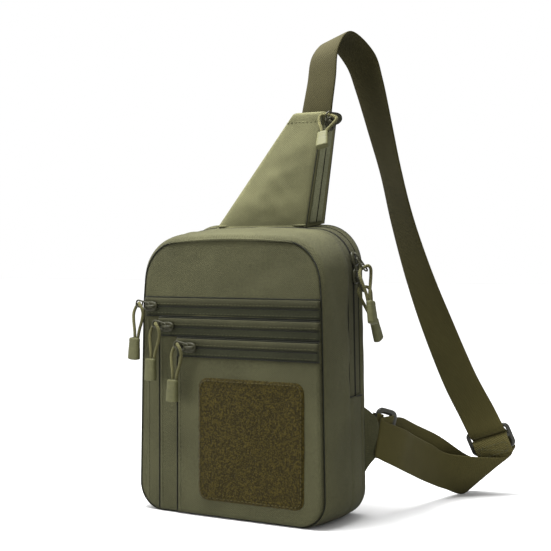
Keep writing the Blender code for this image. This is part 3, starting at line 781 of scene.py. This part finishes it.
def make_pocket_zips():
    for number, (left, top, bottom, face_y) in enumerate(ZIP_BANDS, start=1):
        right = side_x(top, FRONT_Y) - 1.3
        # the hem's cloth is the nylon darkened as painted shade
        hem = straight_strip("zip_hem_%d" % number, left, right, top, face_y, HEM_PROFILE,
                             SHADED_HEM_CLOTH)
        attach(hem, FLAP)
        tape = straight_strip("pocket_zip_%d" % number, left, right, top, face_y,
                              POCKET_TAPE_PROFILE, ZIP_CLOTH)
        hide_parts("pocket_tape_%d" % number)
        attach(tape, FLAP)
        groove = [(x, face_y + 0.55, top - 7.5) for x in np.linspace(left + 1, right - 1, 50)]
        attach(tube("zip_coil_%d" % number, groove, 0.5, COIL_CLOTH, sides=8), FLAP)
        for row, (down, behind) in enumerate(((5.0, 0.02), (12.6, 1.15))):
            path = [(x, face_y + behind, top - down) for x in np.linspace(left + 2, right - 2, 60)]
            line = stitches("zip_stitching_%d_%d" % (number, row), path, FORWARD)
            attach(line, FLAP)
        # dark lines along each band's top and bottom seams: partly the seam, partly painted shadow
        # under the overhanging edges
        for edge, level in (("top", top + 0.3), ("bottom", bottom - 0.1)):
            shadow = [(x, face_y + 1.3, level) for x in np.linspace(left, right, 40)]
            piping("zip_%s_seam_%d" % (edge, number), shadow, 0.5, FLAP)


def rounded_rectangle(left, right, bottom, top, radius, count):
    corners = arc(right - radius, bottom + radius, radius, -90, 0, 8)
    corners += arc(right - radius, top - radius, radius, 0, 90, 8)
    corners += arc(left + radius, top - radius, radius, 90, 180, 8)
    corners += arc(left + radius, bottom + radius, radius, 180, 270, 8)
    corners.append(corners[0])
    return resample(corners, count + 1)[0][:-1]


def make_patch():
    edge = rounded_rectangle(*PATCH, PATCH_RADIUS, 300)

    def tufts(x, z):
        return 0.45 * noise.noise(Vector((x * 0.9, 3.0, z * 0.9)))

    patch = cloth_panel("loop_patch_pile", edge, PATCH_FACE_Y, PATCH_PILE, crown=0.1, wave=0.2,
                        roll=0.9, thickness=1.0, seed=21.0, rings=60, shape=tufts)
    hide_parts("loop_patch")
    attach(patch, ACROSS_FOLD)
    left, right, bottom, top = PATCH
    inner = rounded_rectangle(left + 2.2, right - 2.2, bottom + 2.2, top - 2.2, PATCH_RADIUS - 2,
                              300)
    border = [(x, PATCH_FACE_Y - 0.25, z) for x, z in inner]
    seam = stitches("patch_stitching", border + border[:1], FORWARD, PATCH_THREAD, radius=0.3)
    attach(seam, ACROSS_FOLD)


def make_back():
    back = cloth_panel("back_cloth", trimmed_outline(BACK_Y, 1.9), BACK_FACE_Y, NYLON,
                       facing=1.0, crown=0.4, seed=31.0)
    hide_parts("back_panel")
    attach(back)
    inner = [(x, 30.2, z) for x, z in trimmed_outline(BACK_Y, 3.0)]
    attach(tube("inner_seam_binding", inner, 1.7, NYLON_INSIDE, closed=True))
    edge = trimmed_outline(BACK_Y, PAD_INSET)

    def channels(x, z):
        return -sum(1.9 * math.exp(-((z - level - 0.05 * abs(x)) / 3.2) ** 2)
                    for level in PAD_CHANNELS)

    pad = cloth_panel("back_pad_mesh", edge, PAD_FACE_Y, MESH_CLOTH, facing=1.0, crown=2.6,
                      roll=2.2, thickness=2.0, seed=35.0, rings=60, shape=channels)
    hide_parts("back_pad")
    attach(pad)
    piping("back_pad_binding", [(x, 35.0, z) for x, z in edge], 1.5, BAG, 8, closed=True)


def make_divider():
    edge = rounded_rectangle(-74.0, 74.0, 6.0, 178.0, 16.0, 240)
    panel = cloth_panel("insert_panel", edge, INSERT_FACE_Y, NYLON_INSIDE, crown=0.2, wave=0.4,
                        thickness=1.4, seed=41.0)
    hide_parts("inner_divider")
    attach(panel)
    inner = rounded_rectangle(-72.5, 72.5, 7.5, 176.5, 14.5, 240)
    binding = tube("insert_binding", [(x, 21.6, z) for x, z in inner], 2.4, STRAP_CLOTH,
                   closed=True, flat=0.5, up=(0, 1, 0))
    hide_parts("divider_binding")
    attach(binding)


# Shoulder pouch

def pouch_corner(corner, share):
    """A pouch corner's place at a share of the way from the base to the top."""
    low, high = POUCH_BASE[corner], POUCH_TOP[corner]
    base_z = height_at(low[1]) + TOP_CROWN - 1.5
    x = low[0] + (high[0] - low[0]) * share
    y = low[1] + (high[1] - low[1]) * share
    return Vector((x, y, base_z + (POUCH_TOP_Z - base_z) * share))


def pouch_side(start, end, count, share, crown, seed):
    """Points from one corner to the next, puffed out between them."""
    a, b = pouch_corner(start, share), pouch_corner(end, share)
    out = (b - a).cross(UP).normalized()
    rise = math.sin(math.pi * min(share * 0.9 + 0.1, 1.0) ** 0.6)
    line = []
    for k in range(count):
        t = k / count
        middle = math.sin(math.pi * t)
        puff = crown * middle ** 0.7 * rise - 0.5 * (1 - min(middle * 6, 1.0))
        point = a.lerp(b, t)
        wave = ripple(point, 0.045, 1.3, seed) * middle * rise
        line.append(point + out * (puff + wave * (1 if crown > 1 else 0.3)))
    return line


def make_pouch():
    sides = ((0, 1, 34, 4.0, 2.0), (1, 2, 10, -0.9, 3.0), (2, 3, 34, 1.6, 4.0), (3, 0, 8, 0.8, 5.0))
    levels = 46
    sections = []
    for level in range(levels + 1):
        ring = []
        for start, end, count, crown, seed in sides:
            ring += pouch_side(start, end, count, level / levels, crown, seed)
        sections.append(ring)
    # the pouch's cloth is the lighter copy of the nylon, with painted light
    pouch = loft("pouch_shell", sections, LIT_POUCH_NYLON)
    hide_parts("pouch_front", "pouch_back", "pouch_left_side", "pouch_gusset_front",
                "pouch_gusset_rear")
    attach(pouch)
    for name, corner in (("pouch_front_seam", 1), ("pouch_rear_seam", 2)):
        piping(name, [pouch_corner(corner, k / 40) for k in range(41)], THIN_SEAM_RADIUS)
    make_pouch_zip()
    make_pouch_zip_end()
    make_pouch_hem()
    base = [pouch_corner(0, 0.012).lerp(pouch_corner(1, 0.012), k / 50) + Vector((0, -0.9, 0.4))
            for k in range(51)]
    attach(tube("pouch_base_seam", base, 0.7, LIT_POUCH_NYLON, sides=6))
    hem = [pouch_corner(0, 0.925).lerp(pouch_corner(1, 0.925), k / 12) + Vector((0, -0.5, 0))
           for k in range(13)]
    line = stitches("pouch_top_stitching", hem, FORWARD, LIT_POUCH_NYLON, radius=0.2)
    attach(line)


HEM_CORNER = 2.4


def pouch_band(z, proud):
    """The pouch's top outline at a height, pushed out from its three cloth sides."""
    share = min(1.0, 1.0 - (POUCH_TOP_Z - z) / 90.0)
    corners = [pouch_corner(k, share) for k in range(4)]
    sides = [(corners[(k + 1) % 4] - corners[k]).normalized() for k in range(4)]
    pushes = [side.cross(UP) * (min(proud, 0.0) if k == 1 else proud)
              for k, side in enumerate(sides)]
    ring = []
    for k, corner in enumerate(corners):
        moved = corner + pushes[k - 1] + pushes[k]
        start, end = moved - sides[k - 1] * HEM_CORNER, moved + sides[k] * HEM_CORNER
        for step in range(7):
            t = step / 6
            point = start.lerp(moved, t).lerp(moved.lerp(end, t), t)
            ring.append(Vector((point.x, point.y, z)))
    return ring


def make_pouch_hem():
    """The folded hem that closes the pouch's top round the end of the strap."""
    profile = ((316.4, -0.9), (317.0, 0.0), (318.6, 0.3), (321.0, 0.45), (323.5, 0.45),
               (325.0, 0.3), (325.9, -0.3), (326.4, -1.4), (326.5, -3.0))
    sections = [pouch_band(z, proud) for z, proud in profile]
    hem = loft("pouch_hem", sections, LIT_POUCH_NYLON)
    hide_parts("pouch_cap")
    attach(hem)


def make_pouch_zip_end():
    """The folded end of the zip's tape at the top of the pouch."""
    across = (pouch_corner(2, 1) - pouch_corner(1, 1)).normalized()
    fold = ((-1.0, 326.0), (2.5, 325.5), (5.8, 323.5), (6.2, 320.0), (3.6, 317.5), (0.4, 316.5))
    rulings = []
    for reach, z in fold:
        middle = pouch_corner(1, 0.97).lerp(pouch_corner(2, 0.97), 0.62)
        middle = Vector((middle.x + reach, middle.y, z))
        rulings.append((middle - across * 4.0, middle + across * 4.0))
    end, _ = ribbon("pouch_zip_end", rulings, 6, ZIP_CLOTH, thickness=1.2)
    attach(end)


def make_pouch_zip():
    """The pouch's side zip: two tape halves with a coil between them."""
    rows = []
    profile = ((0.16, 0.2), (0.2, 1.0), (0.42, 1.1), (0.46, 1.5), (0.5, 0.8), (0.54, 1.5),
               (0.58, 1.1), (0.8, 1.0), (0.84, 0.2))
    levels = np.linspace(0.03, 0.985, 60)
    for share, rise in profile:
        row = []
        for level in levels:
            a, b = pouch_corner(1, level), pouch_corner(2, level)
            out = (b - a).cross(UP).normalized()
            row.append(a.lerp(b, share) + out * (rise - 0.3))
        rows.append(row)
    rows.reverse()
    # the zip strip's cloth carries painted light
    tape = lattice("pouch_zip", rows, levels * 90.0, [share * 16 for share, _ in profile],
                   LIT_POUCH_ZIP_CLOTH)
    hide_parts("pouch_tape")
    attach(thicken(tape, 0.8))
    middle = [pouch_corner(1, level).lerp(pouch_corner(2, level), 0.5) + Vector((0.9, -0.45, 0))
              for level in levels]
    attach(tube("pouch_zip_groove", middle, 0.45, COIL_CLOTH, sides=6))


# Strap

def width_direction(yaw, roll):
    yaw, roll = math.radians(yaw), math.radians(roll)
    return Vector((math.cos(yaw) * math.cos(roll), math.sin(yaw) * math.cos(roll), math.sin(roll)))


# Middle of the webbing, then its yaw and roll, from the pouch to the adjuster
UPPER_ROUTE = (
    ((46.3, 25.5, 322.0), -12, 4),
    ((46.3, 25.5, 327.7), -12, 4),
    ((50.2, 26.0, 352.0), -16, 4),
    ((52.2, 29.0, 376.0), -19, 8),
    ((59.2, 40.0, 388.5), -22, 11),
    ((69.5, 57.0, 373.0), -16, 13),
    ((74.5, 65.0, 351.0), -19, 12),
    ((80.0, 75.0, 315.0), -27, 9),
    ((84.5, 86.0, 280.0), -33, 6),
    ((89.5, 98.0, 240.0), -30, 7),
    ((98.5, 112.0, 194.0), -22, 12),
    ((109.5, 126.0, 151.0), -11, 16),
    ((123.5, 142.0, 104.0), -3, 20),
    ((136.0, 153.0, 73.0), 5, 20),
)
LOOP_REAR = (
    ((124.0, 172.0, 6.5), (151.5, 170.5, 28.5)),
    ((118.0, 153.0, 3.5), (128.0, 158.5, 33.0)),
    ((108.0, 122.0, 22.0), (112.5, 125.0, 54.0)),
    ((100.5, 95.0, 34.0), (102.0, 100.0, 66.0)),
    ((96.5, 72.0, 43.0), (98.5, 80.0, 74.0)),
)
LOOP_FRONT = (
    ((94.5, 35.5, 47.5), (96.5, 43.0, 77.0)),
    ((106.0, 52.0, 37.0), (107.5, 63.0, 67.0)),
    ((108.0, 75.0, 28.0), (108.5, 82.0, 59.5)),
    ((110.0, 100.0, 18.5), (112.5, 105.0, 50.0)),
    ((114.5, 130.0, 8.0), (123.0, 128.0, 38.5)),
    ((124.5, 157.0, 1.2), (158.0, 160.0, 34.0)),
)


def width_line(centre, direction):
    half = direction * WEBBING / 2
    return tuple(centre - half), tuple(centre + half)


def ring_axes():
    out = RING_OUT * math.cos(RING_TILT) - UP * math.sin(RING_TILT)
    up = RING_OUT * math.sin(RING_TILT) + UP * math.cos(RING_TILT)
    return out, up, out.cross(up)


def at_ring(out_by, side_by):
    out, up, side = ring_axes()
    return width_line(RING_CENTRE + out * out_by + side * side_by, up)


def adjuster_axes():
    across = width_direction(6, 20)
    normal = across.cross(STRAP_RUN).normalized()
    return across, normal.cross(across), normal


def at_adjuster(along_by, side_by):
    across, along, normal = adjuster_axes()
    return width_line(TRI_GLIDE_CENTRE + along * along_by + normal * side_by, across)


def ribbon(name, rulings, steps, material=STRAP_CLOTH, thickness=WEBBING_THICKNESS):
    """Webbing between two smooth edges, with UVs in millimetres along and across it."""
    low = smooth_route([pair[0] for pair in rulings], steps)
    high = smooth_route([pair[1] for pair in rulings], steps)
    across = (0.0, 0.02, 0.06, 0.25, 0.5, 0.75, 0.94, 0.98, 1.0)
    edge_thin = (0.5, 0.85, 1.0, 1.0, 1.0, 1.0, 1.0, 0.85, 0.5)
    middles = [(a + b) / 2 for a, b in zip(low, high)]
    reach = [0.0]
    for a, b in zip(middles, middles[1:]):
        reach.append(reach[-1] + (b - a).length)
    rows = []
    for i, (a, b) in enumerate(zip(low, high)):
        ahead = middles[min(i + 1, len(middles) - 1)] - middles[max(i - 1, 0)]
        normal = ahead.cross(b - a).normalized()
        front, back = ([a.lerp(b, t) + normal * side * thickness / 2 * thin
                        for t, thin in zip(across, edge_thin)] for side in (1, -1))
        rows.append(front + back[::-1] + front[:1])
    u = [t * WEBBING for t in (*across, *reversed(across), 0.0)]
    thing = lattice(name, rows, u, reach, material)
    ring = len(rows[0])
    for row in (0, len(rows) - 1):
        close_end(thing, row * ring, ring - 1, False)
    return weld(thing), reach[-1]


def make_strap():
    rulings = []
    for centre, yaw, roll in UPPER_ROUTE:
        half = width_direction(yaw, roll) * WEBBING / 2
        rulings.append((Vector(centre) - half, Vector(centre) + half))
    rulings += [at_adjuster(-9.3, -2.6), at_adjuster(-4.8, 0.3), at_adjuster(0.0, 3.4),
                at_adjuster(9.3, 3.8), at_adjuster(15.0, 4.5)]
    rulings += LOOP_REAR
    rulings += [at_ring(13.0, -3.6), at_ring(8.4, -3.8), at_ring(4.9, -1.9), at_ring(4.9, 1.9)]
    rulings += [at_ring(2.0, 5.4)]
    rulings += LOOP_FRONT
    rulings += [at_adjuster(14.5, -3.5)]
    strap, length = ribbon("strap_webbing", rulings, 8)
    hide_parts("strap_upper", "strap_lower")
    attach(strap)
    make_stub()


def make_stub():
    """The strap's sewn end: round the adjuster's middle bar and stitched down on itself."""
    rulings = [at_adjuster(14.5, -3.5), at_adjuster(9.0, -3.9), at_adjuster(2.0, -3.2),
               at_adjuster(-1.9, -1.2), at_adjuster(-1.9, 1.2), at_adjuster(0.8, 1.9)]
    stub, _ = ribbon("strap_end", rulings, 6, STUB_CLOTH, thickness=1.5)
    attach(stub)
    across, along, normal = adjuster_axes()

    near, far = (4.0, 4.4), (13.0, 4.55)
    box = [TRI_GLIDE_CENTRE + across * side + along * down - normal * depth
           for side, (down, depth) in ((-13, near), (13, near), (13, far), (-13, far),
                                       (-13, near), (13, far))]
    line = stitches("strap_box_stitching", box, -normal, length=2.6, radius=0.35)
    attach(line)


def framed(name, centre, across, along, half_across, half_along, bar, bars):
    """A moulded frame with a rounded section, and straight bars across it."""
    normal = across.cross(along).normalized()
    corners = rounded_rectangle(-half_across, half_across, -half_along, half_along, 3.4, 96)
    path = place_ring(corners, centre, across, along)
    parts = [tube(name, path, bar, BUCKLE, sides=12, closed=True, flat=0.8, up=normal)]
    for level in bars:
        ends = [centre + across * x + along * level for x in (-half_across, half_across)]
        parts.append(tube(name + "_bar", [ends[0].lerp(ends[1], k / 8) for k in range(9)], bar,
                          BUCKLE, sides=12, flat=0.8, up=normal))
    return attach(join(parts))


def make_hardware():
    across, along, _ = adjuster_axes()
    glide = framed("adjuster_frame", TRI_GLIDE_CENTRE, across, along, 18.4, 9.6, 1.9, (0.0,))
    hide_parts("tri_glide")
    out, up, side = ring_axes()
    ring = framed("ring_frame", RING_CENTRE, up, out, 18.2, 8.4, 2.5, ())
    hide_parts("strap_ring")
    make_wing(out, up, side)


def make_wing(out, up, side):
    """The sewn wing at the bag's lower side, and the webbing loop that holds the ring."""
    tall = ((0.0, 30.0, 88.0), (2.5, 34.5, 86.5), (6.0, 40.0, 84.0), (10.4, 46.5, 79.0),
            (13.0, 50.5, 72.0), (15.3, 55.0, 64.0))
    normal = RING_OUT.cross(UP)
    rows = []
    levels = np.linspace(0, 1, 22)
    for reach, low, high in tall:
        row = []
        for level in levels:
            z = low + (high - low) * level
            puff = 0.8 * math.sin(math.pi * level) + 5.2 * min(reach / 10.4, 1.0) ** 2
            row.append(WING_ROOT + RING_OUT * (reach - 1.5) + Vector((0, 0, z)) + normal * puff)
        rows.append(row)
    wing = lattice("wing_cloth", rows, levels * 45, [r[0] for r in tall], NYLON)
    wing = thicken(wing, 2.4, 0.0)
    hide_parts("side_wing")
    attach(wing)
    fold = ((-3.2, -2.6), (-0.5, -3.3), (2.6, -2.6), (4.0, 0.0), (2.6, 2.6), (-0.5, 3.3),
            (-3.2, 2.6))
    bar = RING_CENTRE - out * 8.2
    rulings = []
    for x, y in fold:
        middle = bar + out * x + side * y
        rulings.append((middle - up * 15.0, middle + up * 15.0))
    loop, _ = ribbon("ring_loop_webbing", rulings, 6)
    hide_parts("wing_loop")
    attach(loop)


# Zip pulls: the way each cord hangs, its loop's spread, its tip's own way down and its length
PULLS = {
    "pocket_pull_1": ((-0.08, 0.0, -1), (1, 0, 0), (-0.05, 0.0, -1), 18.5),
    "pocket_pull_2": ((-0.08, 0.0, -1), (1, 0, 0), (-0.02, 0.0, -1), 18.5),
    "pocket_pull_3": ((-0.08, 0.0, -1), (1, 0, 0), (-0.05, 0.0, -1), 18.5),
    "main_pull_low": ((0.08, 0.40, -1), (0, 1, 0), (0.08, 0.40, -1), 18.5),
    "main_pull_high": ((0.2, -0.16, -1), (0, 1, 0), (0.2, -0.16, -1), 18.5),
    "pouch_pull": ((0.0, -0.7, -1), (1, 0, 0), (0.3, -0.7, -1), 16.0),
}
CORD_RADIUS = 1.3
CORD_SHAPE = ((1.6, 1.0, 26.0), (2.6, 1.1, 20.0), (4.8, 1.5, 13.0), (6.0, 2.2, 7.4),
              (5.1, 3.3, 2.9), (2.4, 2.8, 0.1), (0.0, 0.0, -0.5), (-2.4, -2.4, 0.1),
              (-5.1, -2.5, 2.9), (-6.0, -1.4, 7.4), (-4.8, -0.4, 13.0), (-2.6, 0.5, 20.0),
              (-1.6, 0.8, 26.0))


def box_middle(name):
    low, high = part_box(name)
    return (Vector(low) + Vector(high)) / 2 / MM


def make_slider(name, middle, travel, across, out):
    """The slider's body with its crown, shoulders and the bridge that the tab hangs on."""
    sections = []
    for level, grow in ((-1.65, 0.86), (-1.3, 1.0), (-0.2, 1.0), (0.25, 0.93), (0.6, 0.72),
                        (0.75, 0.45)):
        ring = []
        for x, y in superellipse(5.9 * grow, 4.1 * grow, 36, 3.2):
            waist = 1.0 - 0.22 * max(0.0, x / 5.9) ** 2
            ring.append(middle + travel * x + across * y * waist + out * level)
        sections.append(ring)
    body = loft(name + "_slider_body", sections, PAINTED_METAL)
    arch = [middle + travel * (4.2 * math.cos(math.pi * k / 16))
            + out * (0.4 + 2.9 * math.sin(math.pi * k / 16)) for k in range(17)]
    bridge = tube(name + "_bridge", arch, 0.75, PAINTED_METAL, flat=1.7, up=across)
    join([body, bridge])
    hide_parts(name + "_slider")
    attach(body, name + "_slider")


def make_tab(name, hinge, eye, across):
    """A wire tab: a rounded loop from the slider's bridge to the cord's eye."""
    direction = (eye - hinge).normalized()
    flat = across - direction * across.dot(direction)
    flat.normalize()
    normal = direction.cross(flat)
    ring = rounded_rectangle(-0.2, (eye - hinge).length + 3.0, -2.7, 2.7, 2.1, 60)
    path = [hinge + direction * x + flat * y for x, y in ring]
    tab = tube(name + "_wire_tab", path, 0.68, PAINTED_METAL, closed=True, up=normal)
    waist = hinge + direction * ((eye - hinge).length - 3.2)
    bar = tube(name + "_tab_bar", [waist + flat * y for y in (-2.6, -1.3, 0.0, 1.3, 2.6)], 0.6,
               PAINTED_METAL, sides=8)
    join([tab, bar])
    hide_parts(name + "_tab")
    attach(tab, name + "_tab")
    return normal


def make_cord(name, eye, outer, hang, spread, tip_top, body):
    """The cord's loop, from the tip up through the tab's eye and back."""
    drop = (tip_top - eye).dot(hang) + 0.8
    reach = drop / 26.0
    points = [eye + spread * a + outer * b + hang * c * reach for a, b, c in CORD_SHAPE]
    route = smooth_route(points, 6)
    cord = tube(name + "_paracord", route, CORD_RADIUS, CORD_CLOTH, sides=12)
    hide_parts(name + "_cord")
    attach(cord, body)


def make_tip(name, tip_middle, down_way, spread, tip_length, body):
    """The moulded tip that holds both ends of the cord."""
    normal = spread.cross(down_way).normalized()
    wide = down_way.cross(normal).normalized()
    sections = []
    levels = 34
    for k in range(levels + 1):
        t = k / levels
        rounding = math.sqrt(1 - (1 - min(t * 12, (1 - t) * 12, 1.0)) ** 2)
        groove = sum(0.05 * math.exp(-((t - at) / 0.022) ** 2) for at in (0.22, 0.32, 0.42))
        size = (0.86 + 0.14 * t - groove) * (0.55 + 0.45 * rounding)
        ring = superellipse(5.3 * size, 3.0 * size, 32, 3.4)
        middle = tip_middle + down_way * (t - 0.5) * tip_length
        sections.append(place_ring(ring, middle, wide, normal))
    tip = loft(name + "_moulded_tip", sections, TIP_RUBBER)
    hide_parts(name + "_tip")
    attach(tip, body)


def make_pull(name):
    hinge = Vector(JOINTS[name + "_tab_hinge"]["pos_m"]) / MM
    eye = Vector(JOINTS[name + "_cord_swing"]["pos_m"]) / MM
    across = Vector(JOINTS[name + "_tab_hinge"]["axis"]).normalized()
    middle = box_middle(name + "_slider")
    out = (hinge - middle).normalized()
    travel = across.cross(out).normalized()
    hang, spread, down_way = (Vector(way).normalized() for way in PULLS[name][:3])
    tip_length = PULLS[name][3]
    if travel.dot(hang) > 0:
        travel = -travel
    make_slider(name, middle, travel, across, out)
    make_tab(name, hinge, eye, across)
    direction = (eye - hinge).normalized()
    outer = (out - direction * out.dot(direction)).normalized()
    tip_middle = box_middle(name + "_tip") + outer * 1.3 + hang * (20.0 - tip_length) / 2
    tip_top = tip_middle - down_way * tip_length / 2
    make_cord(name, eye, outer, hang, spread, tip_top, name + "_cord")
    make_tip(name, tip_middle, down_way, spread, tip_length, name + "_cord")


# Stage, light and camera

def lamp(name, kind, power, way, **settings):
    """A light that shines along a direction."""
    light = bpy.data.lights.new(name, kind)
    light.energy = power
    for setting, value in settings.items():
        setattr(light, setting, value)
    thing = new_object(name, light)
    thing.rotation_euler = Vector(way).to_track_quat("-Z", "Y").to_euler()
    return thing


def area_light(name, place, size, power, target):
    way = Vector(target) - Vector(place)
    lamp(name, "AREA", power, way, shape="DISK", size=size).location = place


def make_stage():
    looks = Looks("pale_floor")
    set_inputs(looks.tree.nodes["Principled BSDF"], looks.tree.links,
               (("Base Color", (0.55, 0.55, 0.55, 1.0)), ("Roughness", 0.7)))
    size = 8000.0
    corners = [(-size, -size, 0), (size, -size, 0), (size, size, 0), (-size, size, 0)]
    build("floor", corners, [(0, 1, 2, 3)], [(0, 0)] * 4, looks.material)
    world = bpy.data.worlds.new("studio")
    world.use_nodes = True
    set_inputs(world.node_tree.nodes["Background"], world.node_tree.links,
               (("Color", (1.0, 1.0, 1.0, 1.0)), ("Strength", 1.0)))
    bpy.context.scene.world = world
    bpy.context.scene.view_settings.view_transform = "Standard"
    area_light("front_left", (-0.46, -0.36, 0.12), 0.3, 2.4, (-0.06, -0.04, 0.06))
    area_light("key", (-0.05, -0.07, 0.68), 0.3, 13.5, (0.02, 0.0, 0.2))
    lamp("overhead", "SUN", 3.5, (0.25, 0.12, -1.0), angle=math.radians(50.0))


def make_camera():
    """At the photograph's viewing angle: 30.5 degrees round to the right, almost level."""
    azimuth, pitch = math.radians(30.5), math.radians(0.8)
    distance, aim_side, aim_height = 0.984, 0.019, 0.1934
    right = Vector((math.cos(azimuth), math.sin(azimuth), 0))
    back = Vector((math.sin(azimuth) * math.cos(pitch), -math.cos(azimuth) * math.cos(pitch),
                   math.sin(pitch)))
    camera = bpy.data.cameras.new("camera")
    camera.lens = 78.4
    camera.sensor_width = 36.0
    view = new_object("camera", camera)
    view.location = right * aim_side + Vector((0, 0, aim_height)) + back * distance
    view.rotation_euler = (-back).to_track_quat("-Z", "Y").to_euler()
    bpy.context.scene.camera = view


make_camera()
make_stage()
make_gussets()
make_main_zip()
make_main_coil()
make_piping()
make_front()
make_pocket_zips()
make_patch()
make_back()
make_divider()
make_pouch()
make_strap()
make_hardware()
for pull_name in PULLS:
    make_pull(pull_name)
